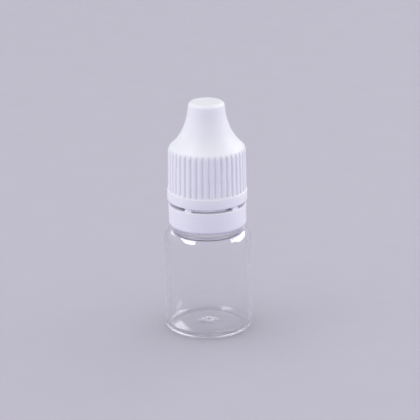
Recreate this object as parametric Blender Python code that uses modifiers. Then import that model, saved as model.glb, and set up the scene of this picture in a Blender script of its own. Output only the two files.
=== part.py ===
"""A small clear dropper bottle: a press-in nozzle, and a screw cap moulded with a break-away ring.

Metres, +Z up. The origin is the centre of the face that the bottle stands on. All pieces are turned
about the Z axis, and -Y is the front. A profile is a list of (radius, height) points at +X.
"""

import math

import bmesh
import bpy
from mathutils import Matrix

MM = 0.001

# Body of the bottle
BODY_DIAMETER = 22.0 * MM
BODY_HEIGHT = 26.3 * MM              # from the standing face to the top of the shoulder
BODY_WALL = 0.8 * MM
SHOULDER_RADIUS = 2.5 * MM
HEEL_RADIUS = 1.7 * MM
BASE_WALL = 1.2 * MM
STANDING_WIDTH = 0.5 * MM            # flat ring that touches the table
PUSH_UP_HEIGHT = 0.8 * MM            # rise of the base's middle above the table
GATE_DIAMETER = 2.3 * MM             # moulding mark under the middle of the base
GATE_TIP_DIAMETER = 1.7 * MM
GATE_LENGTH = 0.35 * MM
NUB_DIAMETER = 2.5 * MM              # low round bump inside, over the gate
NUB_HEIGHT = 0.45 * MM

# Neck of the bottle
NECK_BORE = 11.4 * MM
NECK_WALL = 1.4 * MM
NECK_LENGTH = 18.3 * MM              # from the top of the shoulder to the lip
NECK_FILLET = 0.5 * MM
BORE_FLARE_RADIUS = 2.3 * MM         # inside, where the shoulder turns up into the neck
LIP_CHAMFER = 0.25 * MM
BEAD_DEPTH = 0.9 * MM                # how far the tamper bead stands out of the neck
BEAD_LENGTH = 1.7 * MM
BEAD_FLAT = 0.5 * MM                 # length of the bead's crest

# Screw thread, right-handed, of the same section on the neck and in the cap
THREAD_LEAD = 3.0 * MM
THREAD_DEPTH = 0.8 * MM
THREAD_ROOT = 1.2 * MM               # width where the thread leaves its wall
THREAD_CREST = 0.6 * MM
NECK_THREAD_TURNS = 1.5
CAP_THREAD_TURNS = 1.25
THREAD_DROP = 2.2 * MM               # from the lip to the middle of the thread's upper end
THREAD_FADE = 30.0                   # degrees over which a thread's end rises out of its wall

# Plug with its nozzle
PLUG_DEPTH = 6.0 * MM
PLUG_WALL = 1.0 * MM
PLUG_LEAD_IN = 0.8 * MM
PLUG_LEAD_IN_DEPTH = 0.28 * MM
FLANGE_THICKNESS = 0.9 * MM
FLANGE_INSET = 0.2 * MM              # from the outside of the neck in to the flange's edge
NOZZLE_LENGTH = 11.2 * MM
NOZZLE_ROOT_DIAMETER = 7.8 * MM
NOZZLE_TIP_DIAMETER = 3.9 * MM
NOZZLE_WALL = 1.1 * MM
NOZZLE_TIP_RADIUS = 0.5 * MM
NOZZLE_FILLET = 0.5 * MM
ORIFICE_DIAMETER = 1.0 * MM
ORIFICE_LENGTH = 3.0 * MM
COUNTERSINK = 0.3 * MM

# Cap
CAP_WALL = 1.395 * MM                # under the grooves, where the skirt meets the band
SKIRT_DRAFT = 1.0                    # degrees
CAP_SHOULDER_RISE = 1.07 * MM        # from the plug's flange to the start of the cap's shoulder
CAP_SHOULDER_RADIUS = 1.9 * MM
CAP_SHOULDER_SLOPE = 49.0            # degrees from upright
FLARE_UPPER_PULL = 2.4 * MM          # how long the flare keeps the direction of the nose's wall
FLARE_LOWER_PULL = 3.75 * MM
NOSE_WALL = 1.14 * MM
NOSE_TOP_WALL = 1.6 * MM
NOSE_EDGE_RADIUS = 1.0 * MM
NOSE_STRAIGHT = 2.46 * MM            # from the top down to the start of the flare
NOSE_DRAFT = 6.4                     # degrees
BAND_HEIGHT = 2.75 * MM
BAND_STEP = 0.165 * MM               # how far the band stands out of the ribs
BAND_EDGE_RADIUS = 0.35 * MM
CAP_MOUTH_CHAMFER = 0.3 * MM
SEAL_RING_WIDTH = 0.8 * MM
PIN_ENTRY = 0.8 * MM                 # how far the sealing pin goes into the nozzle's hole
PIN_ROOT_WIDENING = 0.35 * MM

# Grip ribs, which are what the grooves leave
RIB_COUNT = 40
GROOVE_RADIUS = 0.34 * MM
GROOVE_PHASE = 2.8                   # degrees from +X to the middle of the first groove
GROOVE_END_GAP = 0.12 * MM           # from the band up to the grooves

# Break-away ring
RING_HEIGHT = 5.6 * MM
RING_STAND_OFF = 1.2 * MM            # from the bottle's shoulder up to the ring
RING_WALL = 1.48 * MM
RING_DRAFT = 0.6                     # degrees
RING_EDGE_RADIUS = 0.8 * MM
RING_TOP_CHAMFER = 0.25 * MM
RING_LIP_HEIGHT = 2.8 * MM           # from the ring's lower edge to the top of its inner lip
RING_LIP_FLAT = 0.6 * MM
BRIDGE_COUNT = 5
BRIDGE_WIDTH = 2.1 * MM
BRIDGE_DEPTH = 0.8 * MM
BRIDGE_INSET = 0.3 * MM              # from the ring's outer face in to a bridge
BRIDGE_PHASE = -121.0                # degrees from +X to the middle of the first bridge
BRIDGE_FRONT_SPACING = 79.0          # degrees to the second bridge; the rest are spread evenly
BREAK_SLIT = 0.9 * MM                # height of the slit between the ring and the cap

# Clearances
THREAD_CLEARANCE = 0.25 * MM         # from a thread's crest to the wall that it faces
FLANK_CLEARANCE = 0.2 * MM           # between the two threads, along the axis
RING_CLEARANCE = 0.3 * MM            # around the bead, around the neck and under the bead
PLUG_CLEARANCE = 0.12 * MM           # of the plug in the neck's bore
FLANGE_CLEARANCE = 0.15 * MM         # of the flange above the lip
SEAL_CLEARANCE = 0.25 * MM           # of the cap's sealing ring above the flange
PIN_CLEARANCE = 0.15 * MM            # of the pin in the nozzle's hole
TIP_CLEARANCE = 0.9 * MM             # over the nozzle, inside the nose
NOSE_CLEARANCE = 1.5 * MM            # round the nozzle's tip, inside the nose
BRIDGE_CLEARANCE = 0.15 * MM         # of the bridges under the cap's band

# Fineness of the round shapes
TURN_STEPS = 48
PLUG_STEPS = 36
GROOVE_SIDES = 8
ARC_STEPS = 4
FLARE_STEPS = 8
DOME_STEPS = 4
NUB_STEPS = 4
EMBED = 0.3 * MM                     # how far a joined shape reaches into its wall
SHARP_ANGLE = 32.0                   # degrees; flatter edges are shaded smooth

# Radii that follow from the sizes above
BODY_R = BODY_DIAMETER / 2
BORE_R = NECK_BORE / 2
NECK_R = BORE_R + NECK_WALL
BEAD_R = NECK_R + BEAD_DEPTH
CAP_BORE_R = NECK_R + THREAD_DEPTH + THREAD_CLEARANCE
SKIRT_R = CAP_BORE_R + CAP_WALL + GROOVE_RADIUS
BAND_R = SKIRT_R + BAND_STEP
RING_BORE_R = BEAD_R + RING_CLEARANCE
RING_R = RING_BORE_R + RING_WALL
FLANGE_R = NECK_R - FLANGE_INSET
ORIFICE_R = ORIFICE_DIAMETER / 2
TIP_R = NOZZLE_TIP_DIAMETER / 2
NOSE_R = TIP_R + NOSE_CLEARANCE + NOSE_WALL

# Heights that follow from the sizes above
LIP_Z = BODY_HEIGHT + NECK_LENGTH
FLANGE_Z = LIP_Z + FLANGE_CLEARANCE
FLANGE_TOP_Z = FLANGE_Z + FLANGE_THICKNESS
TIP_Z = FLANGE_TOP_Z + NOZZLE_LENGTH
CEILING_Z = TIP_Z + TIP_CLEARANCE
CAP_TOP_Z = CEILING_Z + NOSE_TOP_WALL
RING_Z = BODY_HEIGHT + RING_STAND_OFF
RING_TOP_Z = RING_Z + RING_HEIGHT
RING_LIP_Z = RING_Z + RING_LIP_HEIGHT
BEAD_Z = RING_LIP_Z + RING_CLEARANCE
CAP_Z = RING_TOP_Z + BREAK_SLIT
BAND_TOP_Z = CAP_Z + BAND_HEIGHT
SKIRT_TOP_Z = FLANGE_TOP_Z + CAP_SHOULDER_RISE
SKIRT_TOP_R = SKIRT_R - (SKIRT_TOP_Z - BAND_TOP_Z) * math.tan(math.radians(SKIRT_DRAFT))
NECK_THREAD_Z = LIP_Z - THREAD_DROP - NECK_THREAD_TURNS * THREAD_LEAD
THREAD_SLOPE = (THREAD_ROOT - THREAD_CREST) / 2 / THREAD_DEPTH
THREAD_STAGGER = THREAD_ROOT - (CAP_BORE_R - NECK_R) * THREAD_SLOPE + FLANK_CLEARANCE


def clear_scene():
    for obj in list(bpy.data.objects):
        bpy.data.objects.remove(obj, do_unlink=True)


def new_collection(name):
    collection = bpy.data.collections.new(name)
    bpy.context.scene.collection.children.link(collection)
    return collection


def material(name, colour, roughness, alpha=1.0, transmission=0.0, ior=1.5):
    result = bpy.data.materials.new(name)
    result.use_nodes = True
    shader = result.node_tree.nodes["Principled BSDF"]
    shader.inputs["Base Color"].default_value = (*colour, 1.0)
    shader.inputs["Roughness"].default_value = roughness
    shader.inputs["Metallic"].default_value = 0.0
    shader.inputs["Alpha"].default_value = alpha
    shader.inputs["Transmission Weight"].default_value = transmission
    shader.inputs["IOR"].default_value = ior
    return result


def arc(centre, radius, start, end, steps=ARC_STEPS):
    """Points on a circle about centre, from start to end degrees, with both ends."""
    points = []
    for i in range(steps + 1):
        angle = math.radians(start + (end - start) * i / steps)
        points.append((centre[0] + radius * math.cos(angle), centre[1] + radius * math.sin(angle)))
    return points


def along(point, angle, distance):
    """The point at a distance down and out along a wall that leans angle degrees from upright."""
    lean = math.radians(angle)
    return point[0] + distance * math.sin(lean), point[1] - distance * math.cos(lean)


def flare(start, start_angle, end, end_angle, steps=FLARE_STEPS):
    """A Bezier curve from start to end, tangent there to walls that lean by the two angles."""
    upper = along(start, start_angle, FLARE_UPPER_PULL)
    lower = along(end, end_angle, -FLARE_LOWER_PULL)
    points = []
    for i in range(steps + 1):
        t = i / steps
        weights = ((1 - t) ** 3, 3 * (1 - t) ** 2 * t, 3 * (1 - t) * t ** 2, t ** 3)
        corners = (start, upper, lower, end)
        points.append(tuple(sum(w * c[k] for w, c in zip(weights, corners)) for k in (0, 1)))
    return points


def height_at(points, radius):
    """Height at which a profile passes the radius."""
    for (r0, z0), (r1, z1) in zip(points, points[1:]):
        if min(r0, r1) <= radius <= max(r0, r1):
            return z0 + (z1 - z0) * (radius - r0) / (r1 - r0)
    return points[-1][1]


def mesh_object(name, bm, collection, datum=0.0):
    """An object whose mesh is given in world heights and whose origin is on the axis at datum."""
    bmesh.ops.translate(bm, vec=(0.0, 0.0, -datum), verts=bm.verts)
    mesh = bpy.data.meshes.new(name)
    bm.to_mesh(mesh)
    bm.free()
    obj = bpy.data.objects.new(name, mesh)
    obj.location.z = datum
    collection.objects.link(obj)
    return obj


def turned(name, profile, collection, datum=0.0, closed=False, steps=TURN_STEPS):
    """A body of revolution. The profile runs down its outer side; closed joins its two ends."""
    bm = bmesh.new()
    verts = [bm.verts.new((r, 0.0, z)) for r, z in profile]
    for a, b in zip(verts, verts[1:]):
        bm.edges.new((a, b))
    if closed:
        bm.edges.new((verts[-1], verts[0]))
    obj = mesh_object(name, bm, collection, datum)
    screw = obj.modifiers.new("Turn", "SCREW")
    screw.axis = "Z"
    screw.angle = math.tau
    screw.steps = steps
    screw.render_steps = steps
    screw.use_merge_vertices = True
    screw.merge_threshold = 0.000001
    screw.use_smooth_shade = True
    return obj


def cutter(obj):
    obj.hide_render = True
    obj.display_type = "WIRE"
    return obj


def combine(target, other, operation):
    boolean = target.modifiers.new(other.name, "BOOLEAN")
    boolean.operation = operation
    boolean.solver = "EXACT"
    boolean.object = other


def finish(obj, look, parent=None):
    """Turns the modifiers' result into the object's own mesh, shades it and gives it its material."""
    bpy.context.view_layer.update()
    depsgraph = bpy.context.evaluated_depsgraph_get()
    profile_mesh = obj.data
    obj.data = bpy.data.meshes.new_from_object(obj.evaluated_get(depsgraph), depsgraph=depsgraph)
    obj.modifiers.clear()
    bpy.data.meshes.remove(profile_mesh)
    obj.data.name = obj.name
    obj.data.shade_smooth()
    obj.data.set_sharp_from_angle(angle=math.radians(SHARP_ANGLE))
    obj.data.materials.clear()
    obj.data.materials.append(look)
    if parent:
        obj.parent = parent
        obj.location.z -= parent.matrix_world.translation.z


def thread_ridge(name, wall_r, outward, start_z, turns, collection):
    """A helical ridge on a wall, outward (1) or inward (-1), whose ends rise out of the wall."""
    count = round(turns * TURN_STEPS)
    fade = THREAD_FADE / 360 * TURN_STEPS
    bm = bmesh.new()
    rings = []
    for i in range(count + 1):
        turn = i / TURN_STEPS
        rise = min(1.0, i / fade, (count - i) / fade)
        top = (THREAD_DEPTH + EMBED / 2) * rise - EMBED / 2
        root_half = THREAD_ROOT / 2 + EMBED * THREAD_SLOPE
        top_half = THREAD_ROOT / 2 - top * THREAD_SLOPE
        section = ((-EMBED, -root_half), (top, -top_half), (top, top_half), (-EMBED, root_half))
        spin = Matrix.Rotation(math.tau * turn, 4, "Z")
        ring = []
        for depth, rise_z in section:
            z = start_z + THREAD_LEAD * turn + rise_z
            place = spin @ Matrix.Translation((wall_r + outward * depth, 0.0, z))
            ring.append(bm.verts.new(place.translation))
        rings.append(ring)
    for near, far in zip(rings, rings[1:]):
        for k in range(4):
            bm.faces.new((near[k], near[(k + 1) % 4], far[(k + 1) % 4], far[k]))
    bm.faces.new(rings[0])
    bm.faces.new(rings[-1])
    bmesh.ops.recalc_face_normals(bm, faces=bm.faces)
    return cutter(mesh_object(name, bm, collection))


def push_up(radius):
    """Height of the base's domed underside above the table."""
    edge = BODY_R - HEEL_RADIUS - STANDING_WIDTH
    return PUSH_UP_HEIGHT * (1 - (radius / edge) ** 2)


def base_inside(radius):
    """Height of the base's inner face above the table."""
    bump = max(0.0, 1 - (radius / (NUB_DIAMETER / 2)) ** 2) * NUB_HEIGHT
    return BASE_WALL + push_up(radius) + bump


def bottle_profile():
    heel_r = BODY_R - HEEL_RADIUS
    dome_r = heel_r - STANDING_WIDTH
    inner_r = BODY_R - BODY_WALL
    shoulder = min(SHOULDER_RADIUS, BODY_R - NECK_R - NECK_FILLET)
    shoulder_centre = (BODY_R - shoulder, BODY_HEIGHT - shoulder)
    inner_heel = max(HEEL_RADIUS - BODY_WALL, BODY_WALL / 2)
    inner_shoulder = max(shoulder - BODY_WALL, BODY_WALL / 2)
    dome_radii = [dome_r * i / DOME_STEPS for i in range(DOME_STEPS + 1)]
    nub_r = NUB_DIAMETER / 2
    inside_radii = [nub_r * i / NUB_STEPS for i in range(NUB_STEPS + 1)]
    inside_radii += [r for r in dome_radii if r > nub_r]

    points = [(r, base_inside(r)) for r in inside_radii]
    points += arc((inner_r - inner_heel, BASE_WALL + inner_heel), inner_heel, -90, 0)
    inner_top = BODY_HEIGHT - BODY_WALL
    points += arc((inner_r - inner_shoulder, inner_top - inner_shoulder), inner_shoulder, 0, 90)
    points += arc((BORE_R + BORE_FLARE_RADIUS, inner_top + BORE_FLARE_RADIUS), BORE_FLARE_RADIUS, 270, 180)
    points += [(BORE_R, LIP_Z - LIP_CHAMFER), (BORE_R + LIP_CHAMFER, LIP_Z)]
    points += [(NECK_R - LIP_CHAMFER, LIP_Z), (NECK_R, LIP_Z - LIP_CHAMFER)]
    points += [(NECK_R, BEAD_Z + BEAD_LENGTH), (BEAD_R, BEAD_Z + BEAD_FLAT), (BEAD_R, BEAD_Z)]
    points += [(NECK_R, BEAD_Z)]
    points += arc((NECK_R + NECK_FILLET, BODY_HEIGHT + NECK_FILLET), NECK_FILLET, 180, 270, 3)
    points += arc(shoulder_centre, shoulder, 90, 0, ARC_STEPS + 2)
    points += arc((heel_r, HEEL_RADIUS), HEEL_RADIUS, 0, -90, ARC_STEPS + 1)
    gate_r = GATE_DIAMETER / 2
    gate_tip_r = GATE_TIP_DIAMETER / 2
    points += [(r, push_up(r)) for r in reversed(dome_radii) if r > gate_r]
    gate_z = push_up(gate_r)
    points += [(gate_r, gate_z), (gate_tip_r, gate_z - GATE_LENGTH), (0.0, gate_z - GATE_LENGTH)]
    return points


def make_bottle(parts, tools, look):
    bottle = turned("bottle", bottle_profile(), parts)
    thread = thread_ridge("neck_thread", NECK_R, 1, NECK_THREAD_Z, NECK_THREAD_TURNS, tools)
    combine(bottle, thread, "UNION")
    finish(bottle, look)
    return bottle


def plug_profile():
    plug_r = BORE_R - PLUG_CLEARANCE
    inner_r = plug_r - PLUG_WALL
    foot_z = LIP_Z - PLUG_DEPTH
    root_r = NOZZLE_ROOT_DIAMETER / 2
    channel_r = root_r - NOZZLE_WALL

    points = [(inner_r, foot_z), (inner_r, FLANGE_Z - inner_r + channel_r), (channel_r, FLANGE_Z)]
    points += [(ORIFICE_R, TIP_Z - ORIFICE_LENGTH), (ORIFICE_R, TIP_Z - COUNTERSINK)]
    points += [(ORIFICE_R + COUNTERSINK, TIP_Z)]
    tip_centre = (TIP_R - NOZZLE_TIP_RADIUS, TIP_Z - NOZZLE_TIP_RADIUS)
    points += arc(tip_centre, NOZZLE_TIP_RADIUS, 90, 0, 3)
    fillet_centre = (root_r + NOZZLE_FILLET, FLANGE_TOP_Z + NOZZLE_FILLET)
    points += arc(fillet_centre, NOZZLE_FILLET, 180, 270, 3)
    points += [(FLANGE_R, FLANGE_TOP_Z), (FLANGE_R, FLANGE_Z), (plug_r, FLANGE_Z)]
    points += [(plug_r, foot_z + PLUG_LEAD_IN), (plug_r - PLUG_LEAD_IN_DEPTH, foot_z)]
    return points


def make_plug(parts, look, bottle):
    plug = turned("dropper_plug", plug_profile(), parts, LIP_Z, True, PLUG_STEPS)
    finish(plug, look, bottle)


def cap_profile():
    edge_centre = (NOSE_R - NOSE_EDGE_RADIUS, CAP_TOP_Z - NOSE_EDGE_RADIUS)
    points = [(0.0, CAP_TOP_Z)]
    points += arc(edge_centre, NOSE_EDGE_RADIUS, 90, NOSE_DRAFT)
    wall_r, wall_z = points[-1]
    flare_z = CAP_TOP_Z - NOSE_STRAIGHT
    flare_top = (wall_r + (wall_z - flare_z) * math.tan(math.radians(NOSE_DRAFT)), flare_z)
    shoulder_centre = (SKIRT_TOP_R - CAP_SHOULDER_RADIUS, SKIRT_TOP_Z)
    shoulder = arc(shoulder_centre, CAP_SHOULDER_RADIUS, CAP_SHOULDER_SLOPE, 0)
    points += flare(flare_top, NOSE_DRAFT, shoulder[0], CAP_SHOULDER_SLOPE)
    points += shoulder[1:]
    points += [(SKIRT_R, BAND_TOP_Z), (BAND_R, BAND_TOP_Z - BAND_STEP), (BAND_R, CAP_Z + BAND_EDGE_RADIUS)]
    points += arc((BAND_R - BAND_EDGE_RADIUS, CAP_Z + BAND_EDGE_RADIUS), BAND_EDGE_RADIUS, 0, -90, 3)[1:]
    points += [(CAP_BORE_R + CAP_MOUTH_CHAMFER, CAP_Z), (CAP_BORE_R, CAP_Z + CAP_MOUTH_CHAMFER)]

    # inside of the shoulder and the nose, one wall in from the outside
    draft = math.radians(NOSE_DRAFT)
    slope = math.radians(CAP_SHOULDER_SLOPE)
    inner_top = (flare_top[0] - NOSE_WALL * math.cos(draft), flare_z - NOSE_WALL * math.sin(draft))
    below = (shoulder[0][0] - NOSE_WALL * math.cos(slope), shoulder[0][1] - NOSE_WALL * math.sin(slope))
    inner_low = (CAP_BORE_R, below[1] + (below[0] - CAP_BORE_R) / math.tan(slope))
    inner = flare(inner_top, NOSE_DRAFT, inner_low, CAP_SHOULDER_SLOPE)[::-1]

    # sealing ring that hangs from the shoulder over the plug's flange
    seal_z = FLANGE_TOP_Z + SEAL_CLEARANCE
    seal_in_r = FLANGE_R - SEAL_RING_WIDTH
    points += [p for p in inner if p[0] > FLANGE_R]
    points += [(FLANGE_R, height_at(inner, FLANGE_R)), (FLANGE_R, seal_z)]
    points += [(seal_in_r, seal_z), (seal_in_r, height_at(inner, seal_in_r))]
    points += [p for p in inner if p[0] < seal_in_r]

    # ceiling of the nose and the pin in the nozzle's hole
    ceiling_r = inner_top[0] - (CEILING_Z - inner_top[1]) * math.tan(draft)
    pin_r = ORIFICE_R - PIN_CLEARANCE
    pin_z = TIP_Z - PIN_ENTRY
    points += [(ceiling_r, CEILING_Z), (pin_r + PIN_ROOT_WIDENING, CEILING_Z)]
    points += [(pin_r, TIP_Z), (pin_r, pin_z), (0.0, pin_z)]
    return points


def groove_cutters(tools):
    """One cutter with a round bar for each groove, leaning in with the skirt's draft."""
    low_z = BAND_TOP_Z + GROOVE_END_GAP
    high_z = SKIRT_TOP_Z + CAP_SHOULDER_RADIUS
    lean = math.radians(SKIRT_DRAFT)
    middle_z = (low_z + high_z) / 2
    middle_r = SKIRT_R - (middle_z - BAND_TOP_Z) * math.tan(lean)
    tilt = Matrix.Translation((middle_r, 0.0, middle_z)) @ Matrix.Rotation(-lean, 4, "Y")
    bm = bmesh.new()
    for i in range(RIB_COUNT):
        turn = math.radians(GROOVE_PHASE + 360 * i / RIB_COUNT)
        bmesh.ops.create_cone(
            bm,
            cap_ends=True,
            segments=GROOVE_SIDES,
            radius1=GROOVE_RADIUS,
            radius2=GROOVE_RADIUS,
            depth=high_z - low_z,
            matrix=Matrix.Rotation(turn, 4, "Z") @ tilt,
        )
    return cutter(mesh_object("grooves", bm, tools))


def make_cap(parts, tools, look, ring):
    cap = turned("cap", cap_profile(), parts, CAP_Z)
    start_z = NECK_THREAD_Z - THREAD_STAGGER
    thread = thread_ridge("cap_thread", CAP_BORE_R, -1, start_z, CAP_THREAD_TURNS, tools)
    combine(cap, thread, "UNION")
    combine(cap, groove_cutters(tools), "DIFFERENCE")
    finish(cap, look, ring)


def ring_profile():
    foot_r = RING_R - RING_HEIGHT * math.tan(math.radians(RING_DRAFT))
    lip_r = NECK_R + RING_CLEARANCE
    points = [(RING_BORE_R, RING_TOP_Z), (RING_R - RING_TOP_CHAMFER, RING_TOP_Z)]
    points += [(RING_R, RING_TOP_Z - RING_TOP_CHAMFER)]
    points += arc((foot_r - RING_EDGE_RADIUS, RING_Z + RING_EDGE_RADIUS), RING_EDGE_RADIUS, 0, -90)
    points += [(RING_BORE_R, RING_Z), (lip_r, RING_LIP_Z - RING_LIP_FLAT), (lip_r, RING_LIP_Z)]
    points += [(RING_BORE_R, RING_LIP_Z)]
    return points


def bridge_angle(index):
    """Degrees from +X to the middle of a bridge."""
    if index == 0:
        return BRIDGE_PHASE
    others = (360 - BRIDGE_FRONT_SPACING) / (BRIDGE_COUNT - 1)
    return BRIDGE_PHASE + BRIDGE_FRONT_SPACING + (index - 1) * others


def bridge_blocks(tools):
    """The break-away bridges, from inside the ring up to just under the cap's band."""
    low_z = RING_TOP_Z - EMBED
    high_z = CAP_Z - BRIDGE_CLEARANCE
    middle_r = RING_R - BRIDGE_INSET - BRIDGE_DEPTH / 2
    place = Matrix.Translation((middle_r, 0.0, (low_z + high_z) / 2))
    size = Matrix.Diagonal((BRIDGE_DEPTH, BRIDGE_WIDTH, high_z - low_z, 1.0))
    bm = bmesh.new()
    for i in range(BRIDGE_COUNT):
        spin = Matrix.Rotation(math.radians(bridge_angle(i)), 4, "Z")
        bmesh.ops.create_cube(bm, size=1.0, matrix=spin @ place @ size)
    return cutter(mesh_object("bridges", bm, tools))


def make_ring(parts, tools, look, bottle):
    ring = turned("tamper_ring", ring_profile(), parts, RING_Z, True)
    combine(ring, bridge_blocks(tools), "UNION")
    finish(ring, look, bottle)
    return ring


def main():
    clear_scene()
    parts = new_collection("dropper_bottle")
    tools = new_collection("shaping_tools")
    clear_pet = material("clear_pet", (0.95, 0.96, 0.97), 0.05, alpha=0.35, transmission=1.0, ior=1.57)
    soft_plastic = material("natural_ldpe", (0.90, 0.91, 0.90), 0.35, alpha=0.9)
    white_plastic = material("white_polypropylene", (0.88, 0.88, 0.90), 0.28)
    bottle = make_bottle(parts, tools, clear_pet)
    make_plug(parts, soft_plastic, bottle)
    ring = make_ring(parts, tools, white_plastic, bottle)
    make_cap(parts, tools, white_plastic, ring)


main()
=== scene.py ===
"""Looks of a small clear dropper bottle with a white screw cap over a break-away ring.

Metres, +Z up, -Y is the front. Every piece is turned about the Z axis from a profile, a list of
(radius, height) points at +X that runs down the outer side, and stands in the place of a CAD node.
"""

import math

import bmesh
import bpy
import numpy as np
from mathutils import Matrix, Vector


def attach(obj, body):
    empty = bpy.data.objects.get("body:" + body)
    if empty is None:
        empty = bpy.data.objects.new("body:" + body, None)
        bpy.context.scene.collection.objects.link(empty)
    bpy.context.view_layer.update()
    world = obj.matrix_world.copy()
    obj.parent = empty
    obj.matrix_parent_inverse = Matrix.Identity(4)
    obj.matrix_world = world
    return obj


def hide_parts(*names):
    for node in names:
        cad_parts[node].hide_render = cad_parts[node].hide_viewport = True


MM = 0.001

# Body and neck of the bottle
BODY_R = 11.0 * MM
BODY_HEIGHT = 26.3 * MM
BODY_WALL = 0.8 * MM
SHOULDER_RADIUS = 2.5 * MM
HEEL_RADIUS = 1.7 * MM
BASE_WALL = 1.2 * MM
STANDING_WIDTH = 0.5 * MM
PUSH_UP_HEIGHT = 0.8 * MM
GATE_R = 1.15 * MM
GATE_TIP_R = 0.85 * MM
GATE_LENGTH = 0.35 * MM
NUB_R = 1.25 * MM
NUB_HEIGHT = 0.45 * MM
GATE_STEP_R = 2.7 * MM               # faint round step inside the base, about the gate
GATE_STEP_HEIGHT = 0.08 * MM
GATE_STEP_EDGE = 0.4 * MM
BORE_R = 5.7 * MM
NECK_R = 7.1 * MM
NECK_FILLET = 0.5 * MM
BORE_FLARE_RADIUS = 2.3 * MM
LIP_RADIUS = 0.25 * MM
BEAD_R = 8.0 * MM
BEAD_Z = 30.6 * MM
BEAD_LENGTH = 1.7 * MM
BEAD_FLAT = 0.5 * MM
LIP_Z = 44.6 * MM

# Screw thread on the neck and in the cap
THREAD_LEAD = 3.0 * MM
THREAD_DEPTH = 0.8 * MM
THREAD_ROOT = 1.2 * MM
THREAD_CREST = 0.6 * MM
THREAD_SLOPE = (THREAD_ROOT - THREAD_CREST) / 2 / THREAD_DEPTH
THREAD_CREST_ROUND = 0.2 * THREAD_CREST
THREAD_FADE = 30.0                   # degrees over which a thread's end rises out of the wall
NECK_THREAD_TURNS = 1.5
CAP_THREAD_TURNS = 1.25
NECK_THREAD_Z = 37.9 * MM
FLANK_CLEARANCE = 0.2 * MM

# Plug with its nozzle
PLUG_R = 5.58 * MM
PLUG_WALL = 1.0 * MM
PLUG_FOOT_Z = 38.6 * MM
PLUG_LEAD_IN = 0.8 * MM
PLUG_LEAD_IN_DEPTH = 0.28 * MM
FLANGE_R = 6.9 * MM
FLANGE_Z = 44.75 * MM
FLANGE_TOP_Z = 45.65 * MM
FLANGE_EDGE = 0.15 * MM
NOZZLE_ROOT_R = 3.9 * MM
NOZZLE_WALL = 1.1 * MM
NOZZLE_FILLET = 0.5 * MM
TIP_R = 1.95 * MM
TIP_Z = 56.85 * MM
TIP_RADIUS = 0.5 * MM
ORIFICE_R = 0.5 * MM
ORIFICE_LENGTH = 3.0 * MM
COUNTERSINK = 0.3 * MM

# Cap
CAP_Z = 34.0 * MM
CAP_TOP_Z = 59.35 * MM
CAP_BORE_R = 8.15 * MM
CAP_MOUTH_CHAMFER = 0.3 * MM
BAND_R = 10.05 * MM
BAND_TOP_Z = 36.75 * MM
BAND_STEP = 0.165 * MM
BAND_EDGE_RADIUS = 0.35 * MM
SKIRT_R = 9.885 * MM
SKIRT_TOP_Z = 46.72 * MM
SKIRT_DRAFT = math.radians(1.0)
SKIRT_TOP_R = SKIRT_R - (SKIRT_TOP_Z - BAND_TOP_Z) * math.tan(SKIRT_DRAFT)
CAP_SHOULDER_RADIUS = 1.9 * MM
CAP_SHOULDER_SLOPE = math.radians(49.0)
FLARE_UPPER_PULL = 2.4 * MM
FLARE_LOWER_PULL = 3.75 * MM
NOSE_R = 4.59 * MM
NOSE_WALL = 1.14 * MM
NOSE_EDGE_RADIUS = 1.0 * MM
NOSE_STRAIGHT = 2.46 * MM
NOSE_DRAFT = math.radians(6.4)
CEILING_Z = 57.75 * MM
SEAL_Z = 45.9 * MM
SEAL_RING_WIDTH = 0.8 * MM
PIN_R = 0.35 * MM
PIN_ROOT_R = 0.7 * MM
PIN_Z = 56.05 * MM

# Grip ribs
RIB_COUNT = 40
GROOVE_HALF_WIDTH = 0.33 * MM
GROOVE_DEPTH = 0.34 * MM
GROOVE_EDGE = 0.09 * MM              # width of the worn edge of a rib
GROOVE_EDGE_DEPTH = 0.05 * MM
GROOVE_PHASE = math.radians(2.8)
GROOVE_FOOT_Z = 36.87 * MM
GROOVE_FOOT_LENGTH = 0.34 * MM

# Break-away ring
RING_Z = 27.5 * MM
RING_TOP_Z = 33.1 * MM
RING_R = 9.78 * MM
RING_BORE_R = 8.3 * MM
RING_DRAFT = math.radians(0.6)
RING_EDGE_RADIUS = 0.8 * MM
RING_TOP_EDGE = 0.25 * MM
RING_LIP_R = 7.4 * MM
RING_LIP_Z = 30.3 * MM
RING_LIP_FLAT = 0.6 * MM
BRIDGE_COUNT = 5
BRIDGE_WIDTH = 2.1 * MM
BRIDGE_DEPTH = 0.8 * MM
BRIDGE_INSET = 0.3 * MM
BRIDGE_EDGE_RADIUS = 0.15 * MM
BRIDGE_TOP_WIDTH = 0.86              # share of the width that is left at the break line
BRIDGE_TOP_DEPTH = 0.8               # share of the depth that is left there
BRIDGE_PHASE = math.radians(-121.0)  # of the first bridge, left of the front
BRIDGE_FRONT_SPACING = math.radians(79.0)   # between the two bridges seen in the photograph
BRIDGE_GAP = 0.02 * MM

EMBED = 0.3 * MM                     # how far a joined shape reaches into its wall
SUNK_SHARE = 0.9                     # of EMBED, the deepest that a thread's rounded crest sinks
SHARP_ANGLE = math.radians(38.0)
ON_AXIS = 1e-9                       # a smaller radius is a point on the axis

# Faces round each piece
BODY_STEPS = 192
PLUG_STEPS = 96
CAP_THREAD_STEPS = 144
GROOVE_STEPS = 8

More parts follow.
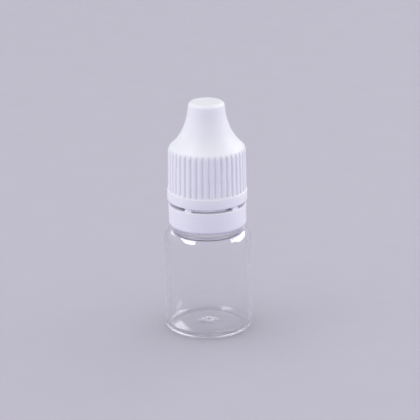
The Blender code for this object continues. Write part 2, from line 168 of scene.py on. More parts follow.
# Colours and finishes
WHITE_TONES = ((0.86, 0.86, 0.885), (0.88, 0.88, 0.90))
WHITE_ROUGHNESS = (0.42, 0.50)
MILKY_TONES = ((0.84, 0.85, 0.84), (0.88, 0.89, 0.88))
MILKY_ROUGHNESS = (0.34, 0.46)
CLEAR_COLOUR = (0.985, 0.99, 0.995)
CLEAR_ROUGHNESS = (0.035, 0.08)
CLEAR_SHADOW = (0.95, 0.95, 0.955)   # share of light that passes the clear wall square on
HAZE_COLOUR = (0.8, 0.8, 0.82)
HAZE_CLEARNESS = 0.2                 # share of trapped light that still passes
TRAPPED_DEPTH = 9                    # bounces after which light in the clear wall is lost in it
TRAPPED_REFLECTIONS = 3              # the same for reflections alone
GLANCE_POWER = 5.0                   # how late the clear wall starts to hold back light that grazes it
FLOOR_COLOUR = (0.55, 0.52, 0.60)
FLOOR_DARKER = 0.985                 # level of the floor's darker spots
FLOOR_ROUGHNESS = (0.75, 0.90)
BOUNCE_COLOUR = (0.35, 0.31, 0.56)   # of the floor, in the light that it throws on matt surfaces
FILL_COLOUR = (0.97, 0.99, 1.04)
FILL_STRENGTH = 0.70

# View and studio
AIM = Vector((0.00064, 0.0, 0.0309))  # the point in the middle of the picture
STAND = Vector((0.0, 0.0, 0.025))    # the point that the camera and the lamps are placed about
VIEW_DISTANCE = 0.70
VIEW_ELEVATION = 19.3                # degrees above the floor
VIEW_ROLL = math.radians(-0.6)
LENS = 237.8
SENSOR_WIDTH = 36.0
CLIP_START = 0.01
LAMP_DISTANCE = 1.3
GLINT_OFFSET = 0.02                  # sets a glint's lamp behind the softbox that it goes with
FLOOR_SIZE = 4.0
FLOOR_DROP = 0.05 * MM               # keeps the standing face clear of the floor

# A lamp's azimuth, elevation and roll in degrees, and tangents of half the angles that it fills
LEFT_BOX = (-97.1, 61.2, -15.9, 0.534, 0.20)
RIGHT_BOX = (124.1, 39.8, 10.1, 0.597, 0.313)
BACK_BOX = (-160, 30, 0, 0.15, 0.15)
LEFT_CARD = (-72, 8, 0, 0.50, 0.26)
RIGHT_CARD = (80, 8, 0, 0.50, 0.26)

# Name, place, radiance, and whether the lamp is a glint
LAMPS = (
    ("left_softbox", LEFT_BOX, 0.4, False),
    ("left_glint", LEFT_BOX, 9.0, True),
    ("right_softbox", RIGHT_BOX, 0.6, False),
    ("right_glint", RIGHT_BOX, 4.6, True),
    ("back_glint", BACK_BOX, 1.6, True),
    ("left_card", LEFT_CARD, 3.15, False),
    ("right_card", RIGHT_CARD, 2.85, False),
)


def arc(centre, radius, start, end, steps):
    """Points on a circle about centre, from start to end degrees, with both ends."""
    angles = np.radians(np.linspace(start, end, steps + 1))
    return [(centre[0] + radius * math.cos(a), centre[1] + radius * math.sin(a)) for a in angles]


def straight(start, end, steps):
    """Points along a straight wall, without its first."""
    shares = np.linspace(0, 1, steps + 1)[1:]
    return [tuple(s + (e - s) * t for s, e in zip(start, end)) for t in shares]


def along(point, lean, distance):
    """The point at a distance down and out along a wall that leans from upright."""
    return point[0] + distance * math.sin(lean), point[1] - distance * math.cos(lean)


def flare(start, start_lean, end, end_lean, steps):
    """A Bezier curve from start to end, tangent there to walls that lean by the two angles."""
    upper = along(start, start_lean, FLARE_UPPER_PULL)
    lower = along(end, end_lean, -FLARE_LOWER_PULL)
    points = []
    for t in np.linspace(0, 1, steps + 1):
        weights = ((1 - t) ** 3, 3 * (1 - t) ** 2 * t, 3 * (1 - t) * t ** 2, t ** 3)
        corners = (start, upper, lower, end)
        points.append(tuple(sum(w * c[k] for w, c in zip(weights, corners)) for k in (0, 1)))
    return points


def height_at(points, radius):
    """Height at which a profile passes the radius."""
    for (r0, z0), (r1, z1) in zip(points, points[1:]):
        if min(r0, r1) <= radius <= max(r0, r1):
            return z0 + (z1 - z0) * (radius - r0) / (r1 - r0)
    return points[-1][1]


def new_object(name, mesh):
    obj = bpy.data.objects.new(name, mesh)
    bpy.context.scene.collection.objects.link(obj)
    return obj


def revolve(name, profile, angles, closed=False, radius_at=None):
    """A closed body of revolution. radius_at may change each row's radii by angle."""
    angles = np.asarray(angles)
    count = len(angles)
    verts, rows = [], []
    for r, z in profile:
        first = len(verts)
        if r < ON_AXIS:
            verts.append((0.0, 0.0, z))
            rows.append([first] * count)
            continue
        radii = np.full(count, r) if radius_at is None else radius_at(angles, r, z)
        verts += list(zip(radii * np.cos(angles), radii * np.sin(angles), np.full(count, z)))
        rows.append(list(range(first, first + count)))
    pairs = list(zip(rows, rows[1:]))
    if closed:
        pairs.append((rows[-1], rows[0]))
    faces = []
    for upper, lower in pairs:
        for i in range(count):
            j = (i + 1) % count
            loop = [upper[i], lower[i], lower[j], upper[j]]
            face = [v for k, v in enumerate(loop) if v != loop[k - 1]]
            faces.append(face)
    mesh = bpy.data.meshes.new(name)
    mesh.from_pydata([tuple(float(c) for c in v) for v in verts], [], faces)
    mesh.validate()
    return new_object(name, mesh)


def even(steps):
    """Angles spread evenly round the axis."""
    return np.arange(steps) * math.tau / steps


def smooth(obj):
    """Smooth shading with sharp edges kept."""
    obj.data.shade_smooth()
    obj.data.set_sharp_from_angle(angle=SHARP_ANGLE)


def thread_ridge(name, wall_r, outward, start_z, turns, steps):
    """A helical ridge on a wall, outward (1) or inward (-1), whose ends rise out of the wall."""
    count = round(turns * steps)
    fade = THREAD_FADE / 360 * steps
    bm = bmesh.new()
    rings = []
    for i in range(count + 1):
        turn = i / steps
        rise = min(1.0, i / fade, (count - i) / fade)
        rise = math.sin(rise * math.pi / 2)
        top = (THREAD_DEPTH + EMBED / 2) * rise - EMBED / 2
        root_half = THREAD_ROOT / 2 + EMBED * THREAD_SLOPE
        top_half = THREAD_ROOT / 2 - top * THREAD_SLOPE
        shy = max(top - THREAD_CREST_ROUND, -EMBED * SUNK_SHARE)
        section = [(-EMBED, -root_half), (shy, -top_half - THREAD_CREST_ROUND * THREAD_SLOPE)]
        section += [(top, -top_half + THREAD_CREST_ROUND), (top, top_half - THREAD_CREST_ROUND)]
        section += [(shy, top_half + THREAD_CREST_ROUND * THREAD_SLOPE), (-EMBED, root_half)]
        ring = []
        for depth, rise_z in section:
            r = wall_r + outward * depth
            z = start_z + THREAD_LEAD * turn + rise_z
            angle = math.tau * turn
            ring.append(bm.verts.new((r * math.cos(angle), r * math.sin(angle), z)))
        rings.append(ring)
    sides = len(rings[0])
    for near, far in zip(rings, rings[1:]):
        for k in range(sides):
            bm.faces.new((near[k], near[(k + 1) % sides], far[(k + 1) % sides], far[k]))
    bm.faces.new(rings[0])
    bm.faces.new(rings[-1])
    bmesh.ops.recalc_face_normals(bm, faces=bm.faces)
    mesh = bpy.data.meshes.new(name)
    bm.to_mesh(mesh)
    bm.free()
    return new_object(name, mesh)


def join(target, *others):
    """Boolean union of the others into the target, applied to its mesh."""
    for other in others:
        boolean = target.modifiers.new("join", "BOOLEAN")
        boolean.operation = "UNION"
        boolean.solver = "EXACT"
        boolean.object = other
    bpy.context.view_layer.update()
    depsgraph = bpy.context.evaluated_depsgraph_get()
    old = target.data
    target.data = bpy.data.meshes.new_from_object(target.evaluated_get(depsgraph), depsgraph=depsgraph)
    target.modifiers.clear()
    bpy.data.meshes.remove(old)
    for other in others:
        bpy.data.objects.remove(other)


def push_up(radius):
    """Height of the base's domed underside above the table."""
    edge = BODY_R - HEEL_RADIUS - STANDING_WIDTH
    return PUSH_UP_HEIGHT * (1 - (radius / edge) ** 2)


def gate_step(radius):
    """Height of the round step about the gate, smooth over its edge."""
    share = min(1.0, max(0.0, (GATE_STEP_R - radius) / GATE_STEP_EDGE + 0.5))
    return GATE_STEP_HEIGHT * share * share * (3 - 2 * share)


def base_inside(radius):
    """Height of the base's inner face above the table."""
    nub = NUB_HEIGHT * max(0.0, 1 - (radius / NUB_R) ** 2)
    return BASE_WALL + push_up(radius) + gate_step(radius) + nub


def bottle_profile():
    """From the base's middle up the inside, over the lip and down the outside to the gate."""
    heel_r = BODY_R - HEEL_RADIUS
    dome_r = heel_r - STANDING_WIDTH
    inner_r = BODY_R - BODY_WALL
    inner_heel = HEEL_RADIUS - BODY_WALL
    inner_shoulder = SHOULDER_RADIUS - BODY_WALL
    inner_top = BODY_HEIGHT - BODY_WALL
    dome_radii = np.linspace(0, dome_r, 13)
    step_in_r, step_out_r = GATE_STEP_R - GATE_STEP_EDGE / 2, GATE_STEP_R + GATE_STEP_EDGE / 2
    inside_radii = [*np.linspace(0, NUB_R, 9), *np.linspace(step_in_r, step_out_r, 9)]
    inside_radii += list(np.linspace(step_out_r, dome_r, 10)[1:])

    points = [(r, base_inside(r)) for r in inside_radii]
    points += arc((inner_r - inner_heel, BASE_WALL + inner_heel), inner_heel, -90, 0, 10)
    wall_top = (inner_r, inner_top - inner_shoulder)
    points += straight(points[-1], wall_top, 8)
    points += arc((inner_r - inner_shoulder, inner_top - inner_shoulder), inner_shoulder, 0, 90, 12)[1:]
    flare_centre = (BORE_R + BORE_FLARE_RADIUS, inner_top + BORE_FLARE_RADIUS)
    points += arc(flare_centre, BORE_FLARE_RADIUS, 270, 180, 14)
    points += arc((BORE_R + LIP_RADIUS, LIP_Z - LIP_RADIUS), LIP_RADIUS, 180, 90, 6)
    points += arc((NECK_R - LIP_RADIUS, LIP_Z - LIP_RADIUS), LIP_RADIUS, 90, 0, 6)
    points += [(NECK_R, BEAD_Z + BEAD_LENGTH), (BEAD_R, BEAD_Z + BEAD_FLAT), (BEAD_R, BEAD_Z)]
    points += [(NECK_R, BEAD_Z)]
    points += arc((NECK_R + NECK_FILLET, BODY_HEIGHT + NECK_FILLET), NECK_FILLET, 180, 270, 8)
    shoulder_centre = (BODY_R - SHOULDER_RADIUS, BODY_HEIGHT - SHOULDER_RADIUS)
    points += arc(shoulder_centre, SHOULDER_RADIUS, 90, 0, 18)
    points += straight(points[-1], (BODY_R, HEEL_RADIUS), 8)
    points += arc((heel_r, HEEL_RADIUS), HEEL_RADIUS, 0, -90, 14)[1:]
    points += [(r, push_up(r)) for r in reversed(dome_radii) if r > GATE_R]
    gate_z = push_up(GATE_R)
    points += [(GATE_R, gate_z), (GATE_TIP_R, gate_z - GATE_LENGTH), (0.0, gate_z - GATE_LENGTH)]
    return points


def make_bottle(look):
    bottle = revolve("clear_bottle", bottle_profile(), even(BODY_STEPS))
    thread = thread_ridge("neck_thread", NECK_R, 1, NECK_THREAD_Z, NECK_THREAD_TURNS, BODY_STEPS)
    join(bottle, thread)
    smooth(bottle)
    bottle.data.materials.append(look)
    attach(bottle, "bottle")
    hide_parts("bottle")


def plug_profile():
    """Up the hollow and its channel, over the tip and down the outside."""
    inner_r = PLUG_R - PLUG_WALL
    channel_r = NOZZLE_ROOT_R - NOZZLE_WALL
    points = [(inner_r, PLUG_FOOT_Z), (inner_r, FLANGE_Z - inner_r + channel_r), (channel_r, FLANGE_Z)]
    points += [(ORIFICE_R, TIP_Z - ORIFICE_LENGTH), (ORIFICE_R, TIP_Z - COUNTERSINK)]
    points += [(ORIFICE_R + COUNTERSINK, TIP_Z)]
    points += arc((TIP_R - TIP_RADIUS, TIP_Z - TIP_RADIUS), TIP_RADIUS, 90, 0, 8)
    fillet_centre = (NOZZLE_ROOT_R + NOZZLE_FILLET, FLANGE_TOP_Z + NOZZLE_FILLET)
    points += arc(fillet_centre, NOZZLE_FILLET, 180, 270, 8)
    points += arc((FLANGE_R - FLANGE_EDGE, FLANGE_TOP_Z - FLANGE_EDGE), FLANGE_EDGE, 90, 0, 4)
    points += arc((FLANGE_R - FLANGE_EDGE, FLANGE_Z + FLANGE_EDGE), FLANGE_EDGE, 0, -90, 4)
    points += [(PLUG_R, FLANGE_Z), (PLUG_R, PLUG_FOOT_Z + PLUG_LEAD_IN)]
    points += [(PLUG_R - PLUG_LEAD_IN_DEPTH, PLUG_FOOT_Z)]
    return points


def make_plug(look):
    plug = revolve("nozzle_plug", plug_profile(), even(PLUG_STEPS), closed=True)
    smooth(plug)
    plug.data.materials.append(look)
    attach(plug, "bottle")
    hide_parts("dropper_plug")


def skirt_line(z):
    """Radius of the ribs' outer faces, which lean in with the skirt's draft."""
    return SKIRT_R - (z - BAND_TOP_Z) * math.tan(SKIRT_DRAFT)


def rib_angles():
    """Angles at which the cap is cut into faces: close over each groove and its edges."""
    quarter = math.pi / 2
    turned = np.linspace(-quarter, quarter, GROOVE_STEPS + 1)
    across = [GROOVE_HALF_WIDTH * math.sin(t) for t in turned]
    outer = GROOVE_HALF_WIDTH + GROOVE_EDGE
    pitch = math.tau / RIB_COUNT
    one = [-outer / SKIRT_R] + [s / SKIRT_R for s in across] + [outer / SKIRT_R, pitch / 2]
    turns = np.arange(RIB_COUNT) * pitch
    return (GROOVE_PHASE + turns[:, None] + np.array(one)[None, :]).ravel()


def groove_depth(angles):
    """Depth of the grooves at each angle, with a round floor and worn edges."""
    pitch = math.tau / RIB_COUNT
    off = (angles - GROOVE_PHASE + pitch / 2) % pitch - pitch / 2
    side = np.abs(off) * SKIRT_R
    floor = np.sqrt(np.clip(1 - (side / GROOVE_HALF_WIDTH) ** 2, 0, 1))
    depth = GROOVE_EDGE_DEPTH + (GROOVE_DEPTH - GROOVE_EDGE_DEPTH) * floor
    return np.where(side > GROOVE_HALF_WIDTH + GROOVE_EDGE / 2, 0.0, depth)


def ribbed(angles, r, z):
    """Radii of one row of the cap's outside, cut in by the grooves."""
    if r < CAP_BORE_R + NOSE_WALL or z < GROOVE_FOOT_Z:
        return np.full(len(angles), r)
    share = min(1.0, (z - GROOVE_FOOT_Z) / GROOVE_FOOT_LENGTH)
    foot = math.sqrt(1 - (1 - share) ** 2)
    return np.minimum(r, skirt_line(z) - foot * groove_depth(angles))


def cap_profile():
    """Down the outside from the nose's top, and back up the inside to the pin."""
    points = [(0.0, CAP_TOP_Z), (NOSE_R * 0.5, CAP_TOP_Z)]
    edge_centre = (NOSE_R - NOSE_EDGE_RADIUS, CAP_TOP_Z - NOSE_EDGE_RADIUS)
    points += arc(edge_centre, NOSE_EDGE_RADIUS, 90, math.degrees(NOSE_DRAFT), 12)
    wall_r, wall_z = points[-1]
    flare_z = CAP_TOP_Z - NOSE_STRAIGHT
    flare_top = (wall_r + (wall_z - flare_z) * math.tan(NOSE_DRAFT), flare_z)
    shoulder_centre = (SKIRT_TOP_R - CAP_SHOULDER_RADIUS, SKIRT_TOP_Z)
    shoulder = arc(shoulder_centre, CAP_SHOULDER_RADIUS, math.degrees(CAP_SHOULDER_SLOPE), 0, 22)
    points += flare(flare_top, NOSE_DRAFT, shoulder[0], CAP_SHOULDER_SLOPE, 28)
    points += shoulder[1:]
    foot = (skirt_line(GROOVE_FOOT_Z + GROOVE_FOOT_LENGTH), GROOVE_FOOT_Z + GROOVE_FOOT_LENGTH)
    points += straight(shoulder[-1], foot, 10)
    points += straight(foot, (skirt_line(GROOVE_FOOT_Z), GROOVE_FOOT_Z), 6)
    points += [(SKIRT_R, BAND_TOP_Z)]
    points += arc((BAND_R - BAND_STEP, BAND_TOP_Z - BAND_STEP), BAND_STEP, 90, 0, 5)[1:]
    points += arc((BAND_R - BAND_EDGE_RADIUS, CAP_Z + BAND_EDGE_RADIUS), BAND_EDGE_RADIUS, 0, -90, 8)
    points += [(CAP_BORE_R + CAP_MOUTH_CHAMFER, CAP_Z), (CAP_BORE_R, CAP_Z + CAP_MOUTH_CHAMFER)]

    inner_top = (
        flare_top[0] - NOSE_WALL * math.cos(NOSE_DRAFT),
        flare_z - NOSE_WALL * math.sin(NOSE_DRAFT),
    )
    below = (
        shoulder[0][0] - NOSE_WALL * math.cos(CAP_SHOULDER_SLOPE),
        shoulder[0][1] - NOSE_WALL * math.sin(CAP_SHOULDER_SLOPE),
    )
    inner_low = (CAP_BORE_R, below[1] + (below[0] - CAP_BORE_R) / math.tan(CAP_SHOULDER_SLOPE))
    inner = flare(inner_top, NOSE_DRAFT, inner_low, CAP_SHOULDER_SLOPE, 20)[::-1]
    seal_in_r = FLANGE_R - SEAL_RING_WIDTH
    points += [p for p in inner if p[0] > FLANGE_R]
    points += [(FLANGE_R, height_at(inner, FLANGE_R)), (FLANGE_R, SEAL_Z)]
    points += [(seal_in_r, SEAL_Z), (seal_in_r, height_at(inner, seal_in_r))]
    points += [p for p in inner if p[0] < seal_in_r]
    ceiling_r = inner_top[0] - (CEILING_Z - inner_top[1]) * math.tan(NOSE_DRAFT)
    points += [(ceiling_r, CEILING_Z), (PIN_ROOT_R, CEILING_Z)]
    points += [(PIN_R, TIP_Z), (PIN_R, PIN_Z), (0.0, PIN_Z)]
    return points


def make_cap(look):
    cap = revolve("ribbed_cap", cap_profile(), rib_angles(), radius_at=ribbed)
    smooth(cap)
    stagger = THREAD_ROOT - (CAP_BORE_R - NECK_R) * THREAD_SLOPE + FLANK_CLEARANCE
    start_z = NECK_THREAD_Z - stagger
    thread = thread_ridge("cap_thread", CAP_BORE_R, -1, start_z, CAP_THREAD_TURNS, CAP_THREAD_STEPS)
    smooth(thread)
    for piece in (cap, thread):
        piece.data.materials.append(look)
        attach(piece, "cap")
        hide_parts("cap")


def ring_profile():
    """Over the top edge, down the outside and up the inside past the lip."""
    foot_r = RING_R - (RING_TOP_Z - RING_Z) * math.tan(RING_DRAFT)
    points = [(RING_BORE_R, RING_TOP_Z)]
    points += arc((RING_R - RING_TOP_EDGE, RING_TOP_Z - RING_TOP_EDGE), RING_TOP_EDGE, 90, 0, 6)
    foot_centre = (foot_r - RING_EDGE_RADIUS, RING_Z + RING_EDGE_RADIUS)
    points += straight(points[-1], (foot_r, foot_centre[1]), 4)
    points += arc(foot_centre, RING_EDGE_RADIUS, 0, -90, 12)[1:]
    points += [(RING_BORE_R, RING_Z), (RING_LIP_R, RING_LIP_Z - RING_LIP_FLAT), (RING_LIP_R, RING_LIP_Z)]
    points += [(RING_BORE_R, RING_LIP_Z)]
    return points


def bridge_angle(index):
    """The first two bridges are those at the front; the rest are spread evenly behind."""
    if index == 0:
        return BRIDGE_PHASE
    others = (math.tau - BRIDGE_FRONT_SPACING) / (BRIDGE_COUNT - 1)
    return BRIDGE_PHASE + BRIDGE_FRONT_SPACING + (index - 1) * others


def make_bridge(index):
    """One bridge: a block that narrows to the line where it breaks off the cap."""
    low_z = RING_TOP_Z - EMBED
    high_z = CAP_Z - BRIDGE_GAP
    middle_r = RING_R - BRIDGE_INSET - BRIDGE_DEPTH / 2
    bm = bmesh.new()
    place = Matrix.Translation((middle_r, 0.0, (low_z + high_z) / 2))
    size = Matrix.Diagonal((BRIDGE_DEPTH, BRIDGE_WIDTH, high_z - low_z, 1.0))
    bmesh.ops.create_cube(bm, size=1.0, matrix=place @ size)
    for vert in bm.verts:
        if vert.co.z > RING_TOP_Z:
            vert.co.y *= BRIDGE_TOP_WIDTH
            vert.co.x = middle_r + (vert.co.x - middle_r) * BRIDGE_TOP_DEPTH
    upright = [e for e in bm.edges if abs(e.verts[0].co.z - e.verts[1].co.z) > BRIDGE_DEPTH / 2]
    bmesh.ops.bevel(
        bm, geom=upright, offset=BRIDGE_EDGE_RADIUS, segments=3, profile=0.5, affect="EDGES"
    )
    bmesh.ops.transform(bm, matrix=Matrix.Rotation(bridge_angle(index), 4, "Z"), verts=bm.verts)
    mesh = bpy.data.meshes.new("bridge")
    bm.to_mesh(mesh)
    bm.free()
    return new_object("bridge", mesh)


def make_ring(look):
    ring = revolve("break_ring", ring_profile(), even(BODY_STEPS), closed=True)
    join(ring, *[make_bridge(i) for i in range(BRIDGE_COUNT)])
    smooth(ring)
    ring.data.materials.append(look)
    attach(ring, "ring")
    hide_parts("tamper_ring")


class Nodes:
    """A material's node tree with short calls for its nodes and links."""

    def __init__(self, name):
        self.material = bpy.data.materials.new(name)
        self.material.use_nodes = True
        self.tree = self.material.node_tree
        self.shader = self.tree.nodes["Principled BSDF"]
        self.output = self.tree.nodes["Material Output"]

    def add(self, kind, **settings):
        node = self.tree.nodes.new(kind)
        for key, value in settings.items():
            setattr(node, key, value)
        return node

    def link(self, source, target):
        self.tree.links.new(source, target)

    def noise(self, scale, detail):
        """Noise over the object's own place in metres, so scale is waves a metre."""
        place = self.add("ShaderNodeTexCoord")
        noise = self.add("ShaderNodeTexNoise")
        noise.inputs["Scale"].default_value = scale
        noise.inputs["Detail"].default_value = detail
        self.link(place.outputs["Object"], noise.inputs["Vector"])
        return noise.outputs["Fac"]

    def spread(self, value, low, high, start=0.3, end=0.7):
        """The value stretched from start..end to low..high."""
        span = self.add("ShaderNodeMapRange")
        span.inputs["From Min"].default_value = start
        span.inputs["From Max"].default_value = end
        span.inputs["To Min"].default_value = low
        span.inputs["To Max"].default_value = high
        self.link(value, span.inputs["Value"])
        return span.outputs["Result"]

    def blend(self, factor, first, second):
        """The first colour where the factor is 0, and the second where it is 1."""
        mix = self.add("ShaderNodeMix", data_type="RGBA")
        mix.inputs["A"].default_value = (*first, 1.0)
        mix.inputs["B"].default_value = (*second, 1.0)
        self.link(factor, mix.inputs["Factor"])
        return mix.outputs["Result"]

    def bump(self, height, distance, below=None):
        bump = self.add("ShaderNodeBump")
        bump.inputs["Strength"].default_value = 1.0
        bump.inputs["Distance"].default_value = distance
        self.link(height, bump.inputs["Height"])
        if below is not None:
            self.link(below, bump.inputs["Normal"])
        return bump.outputs["Normal"]

    def above(self, value, limit):
        """1 where the value is over the limit, otherwise 0."""
        test = self.add("ShaderNodeMath", operation="GREATER_THAN")
        test.inputs[1].default_value = limit
        self.link(value, test.inputs[0])
        return test.outputs["Value"]

    def power(self, value, exponent):
        """The value raised to the exponent."""
        raised = self.add("ShaderNodeMath", operation="POWER")
        raised.inputs[1].default_value = exponent
        self.link(value, raised.inputs[0])
        return raised.outputs["Value"]

    def most(self, first, second):
        """The larger of two values."""
        larger = self.add("ShaderNodeMath", operation="MAXIMUM")
        self.link(first, larger.inputs[0])
        self.link(second, larger.inputs[1])
        return larger.outputs["Value"]

    def choose(self, first, second, factor):
        """The first shader where the factor is 0, and the second where it is 1."""
        mix = self.add("ShaderNodeMixShader")
        if isinstance(factor, float):
            mix.inputs["Fac"].default_value = factor
        else:
            self.link(factor, mix.inputs["Fac"])
        self.link(first, mix.inputs[1])
        self.link(second, mix.inputs[2])
        return mix.outputs["Shader"]


def white_plastic():
    """Opaque white polypropylene: soft gloss, a faint grain and a little light under its skin."""
    n = Nodes("white_polypropylene")
    s = n.shader.inputs
    tone = n.spread(n.noise(260.0, detail=3.0), 0.0, 1.0)
    n.link(n.blend(tone, *WHITE_TONES), s["Base Color"])
    n.link(n.spread(n.noise(900.0, detail=4.0), *WHITE_ROUGHNESS), s["Roughness"])
    s["IOR"].default_value = 1.5
    s["Specular IOR Level"].default_value = 0.25
    s["Subsurface Weight"].default_value = 0.12
    s["Subsurface Radius"].default_value = (1.0, 1.0, 1.0)
    s["Subsurface Scale"].default_value = 0.8 * MM
    waves = n.bump(n.noise(220.0, detail=1.0), 0.02 * MM)
    n.link(n.bump(n.noise(5200.0, detail=3.0), 0.0012 * MM, below=waves), s["Normal"])
    return n.material


def clear_plastic():
    """Clear blown PET: thin walls with a slight wave.

    Light on its way to matt surfaces goes straight through, less of it where it grazes the wall.
    Light that stays long in the wall ends as a pale haze.
    """
    n = Nodes("clear_pet")
    s = n.shader.inputs
    s["Base Color"].default_value = (*CLEAR_COLOUR, 1.0)
    s["IOR"].default_value = 1.57
    s["Transmission Weight"].default_value = 1.0
    n.link(n.spread(n.noise(500.0, detail=3.0), *CLEAR_ROUGHNESS), s["Roughness"])
    waves = n.bump(n.noise(110.0, detail=1.0), 0.03 * MM)
    n.link(waves, s["Normal"])
    haze = n.add("ShaderNodeBsdfDiffuse")
    haze.inputs["Color"].default_value = (*HAZE_COLOUR, 1.0)
    see = n.add("ShaderNodeBsdfTransparent")
    glance = n.power(n.add("ShaderNodeLayerWeight").outputs["Facing"], GLANCE_POWER)
    n.link(n.blend(glance, CLEAR_SHADOW, (0.0, 0.0, 0.0)), see.inputs["Color"])
    path = n.add("ShaderNodeLightPath")
    long = n.above(path.outputs["Ray Depth"], TRAPPED_DEPTH - 0.5)
    bounced = n.above(path.outputs["Glossy Depth"], TRAPPED_REFLECTIONS - 0.5)
    lost = n.choose(haze.outputs["BSDF"], see.outputs["BSDF"], HAZE_CLEARNESS)
    body = n.choose(n.shader.outputs["BSDF"], lost, n.most(long, bounced))
    lit = n.most(path.outputs["Is Shadow Ray"], path.outputs["Is Diffuse Ray"])
    n.link(n.choose(body, see.outputs["BSDF"], lit), n.output.inputs["Surface"])
    return n.material


def soft_plastic():
    """Natural LDPE: milky, satin and a little see-through."""
    n = Nodes("natural_ldpe")
    s = n.shader.inputs
    tone = n.spread(n.noise(300.0, detail=3.0), 0.0, 1.0)
    n.link(n.blend(tone, *MILKY_TONES), s["Base Color"])
    n.link(n.spread(n.noise(1200.0, detail=4.0), *MILKY_ROUGHNESS), s["Roughness"])
    s["IOR"].default_value = 1.51
    s["Transmission Weight"].default_value = 0.35
    s["Subsurface Weight"].default_value = 0.3
    s["Subsurface Radius"].default_value = (1.0, 1.0, 1.0)
    s["Subsurface Scale"].default_value = 1.0 * MM
    n.link(n.bump(n.noise(4000.0, detail=3.0), 0.0015 * MM), s["Normal"])
    return n.material


def floor_surface():
    """A plain pale matt board with a faint tooth, which throws a deeper lilac up than it shows."""
    n = Nodes("pale_floor")
    s = n.shader.inputs
    darker = tuple(c * FLOOR_DARKER for c in FLOOR_COLOUR)
    tone = n.spread(n.noise(90.0, detail=3.0), 0.0, 1.0)
    colour = n.add("ShaderNodeMix", data_type="RGBA")
    n.link(n.blend(tone, darker, FLOOR_COLOUR), colour.inputs["A"])
    colour.inputs["B"].default_value = (*BOUNCE_COLOUR, 1.0)
    n.link(n.add("ShaderNodeLightPath").outputs["Is Diffuse Ray"], colour.inputs["Factor"])
    n.link(colour.outputs["Result"], s["Base Color"])
    n.link(n.spread(n.noise(700.0, detail=4.0), *FLOOR_ROUGHNESS), s["Roughness"])
    s["Specular IOR Level"].default_value = 0.2
    n.link(n.bump(n.noise(1500.0, detail=3.0), 0.01 * MM), s["Normal"])
    return n.material


def make_floor():
    bm = bmesh.new()
    bmesh.ops.create_grid(bm, x_segments=8, y_segments=8, size=FLOOR_SIZE / 2)
    mesh = bpy.data.meshes.new("floor")
    bm.to_mesh(mesh)
    bm.free()
    floor = new_object("floor", mesh)
    floor.location.z = -FLOOR_DROP
    floor.data.materials.append(floor_surface())


def toward(azimuth, elevation):
    """A direction from the bottle: azimuth from the front towards +X, elevation above the floor."""
    a, e = math.radians(azimuth), math.radians(elevation)
    return Vector((math.sin(a) * math.cos(e), -math.cos(a) * math.cos(e), math.sin(e)))


def softbox(name, place, radiance, glint):
    """A rectangular lamp that faces the bottle.

    A glint shows only in glossy surfaces, and any other lamp lights only matt ones.
    """
    azimuth, elevation, roll, half_width, half_height = place
    distance = LAMP_DISTANCE + GLINT_OFFSET if glint else LAMP_DISTANCE
    width, height = 2 * half_width * distance, 2 * half_height * distance
    lamp = bpy.data.lights.new(name, "AREA")
    lamp.shape = "RECTANGLE"
    lamp.size = width
    lamp.size_y = height
    lamp.energy = radiance * math.pi * width * height
    obj = bpy.data.objects.new(name, lamp)
    bpy.context.scene.collection.objects.link(obj)
    way = toward(azimuth, elevation)
    face = way.to_track_quat("Z", "Y").to_matrix()
    obj.rotation_euler = (face @ Matrix.Rotation(math.radians(roll), 3, "Z")).to_euler()
    obj.location = STAND + way * distance
    obj.visible_diffuse = not glint
    obj.visible_glossy = glint
    obj.visible_transmission = glint


def make_lamps():
    for lamp in LAMPS:
        softbox(*lamp)


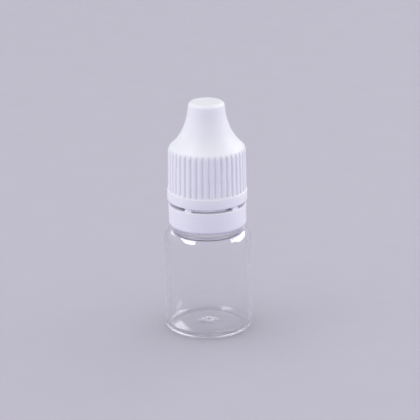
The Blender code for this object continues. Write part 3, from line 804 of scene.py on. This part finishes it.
def make_world():
    """An even fill on matt surfaces, seen as the floor's colour by the camera and in gloss and glass."""
    world = bpy.data.worlds.new("studio")
    bpy.context.scene.world = world
    world.use_nodes = True
    nodes, links = world.node_tree.nodes, world.node_tree.links
    seen = nodes["Background"]
    seen.inputs["Color"].default_value = (*FLOOR_COLOUR, 1.0)
    seen.inputs["Strength"].default_value = 1.0
    fill = nodes.new("ShaderNodeBackground")
    fill.inputs["Color"].default_value = (*FILL_COLOUR, 1.0)
    fill.inputs["Strength"].default_value = FILL_STRENGTH
    path = nodes.new("ShaderNodeLightPath")
    shown = path.outputs["Is Camera Ray"]
    for name in ("Is Glossy Ray", "Is Transmission Ray"):
        either = nodes.new("ShaderNodeMath")
        either.operation = "MAXIMUM"
        links.new(shown, either.inputs[0])
        links.new(path.outputs[name], either.inputs[1])
        shown = either.outputs[0]
    mix = nodes.new("ShaderNodeMixShader")
    links.new(shown, mix.inputs["Fac"])
    links.new(fill.outputs["Background"], mix.inputs[1])
    links.new(seen.outputs["Background"], mix.inputs[2])
    links.new(mix.outputs["Shader"], nodes["World Output"].inputs["Surface"])


def make_camera():
    data = bpy.data.cameras.new("camera")
    data.lens = LENS
    data.sensor_width = SENSOR_WIDTH
    data.clip_start = CLIP_START
    camera = bpy.data.objects.new("camera", data)
    bpy.context.scene.collection.objects.link(camera)
    camera.location = STAND + toward(0, VIEW_ELEVATION) * VIEW_DISTANCE
    look = (AIM - camera.location).to_track_quat("-Z", "Y").to_matrix()
    camera.rotation_euler = (look @ Matrix.Rotation(VIEW_ROLL, 3, "Z")).to_euler()
    bpy.context.scene.camera = camera


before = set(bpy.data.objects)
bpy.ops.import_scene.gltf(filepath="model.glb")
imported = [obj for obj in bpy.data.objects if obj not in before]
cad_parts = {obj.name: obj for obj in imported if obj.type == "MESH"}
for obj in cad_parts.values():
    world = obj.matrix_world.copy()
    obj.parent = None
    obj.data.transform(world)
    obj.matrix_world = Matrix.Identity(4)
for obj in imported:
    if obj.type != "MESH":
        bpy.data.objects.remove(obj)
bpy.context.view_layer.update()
bpy.context.scene.view_settings.view_transform = "Standard"
white = white_plastic()
make_bottle(clear_plastic())
make_plug(soft_plastic())
make_ring(white)
make_cap(white)
make_floor()
make_lamps()
make_world()
make_camera()
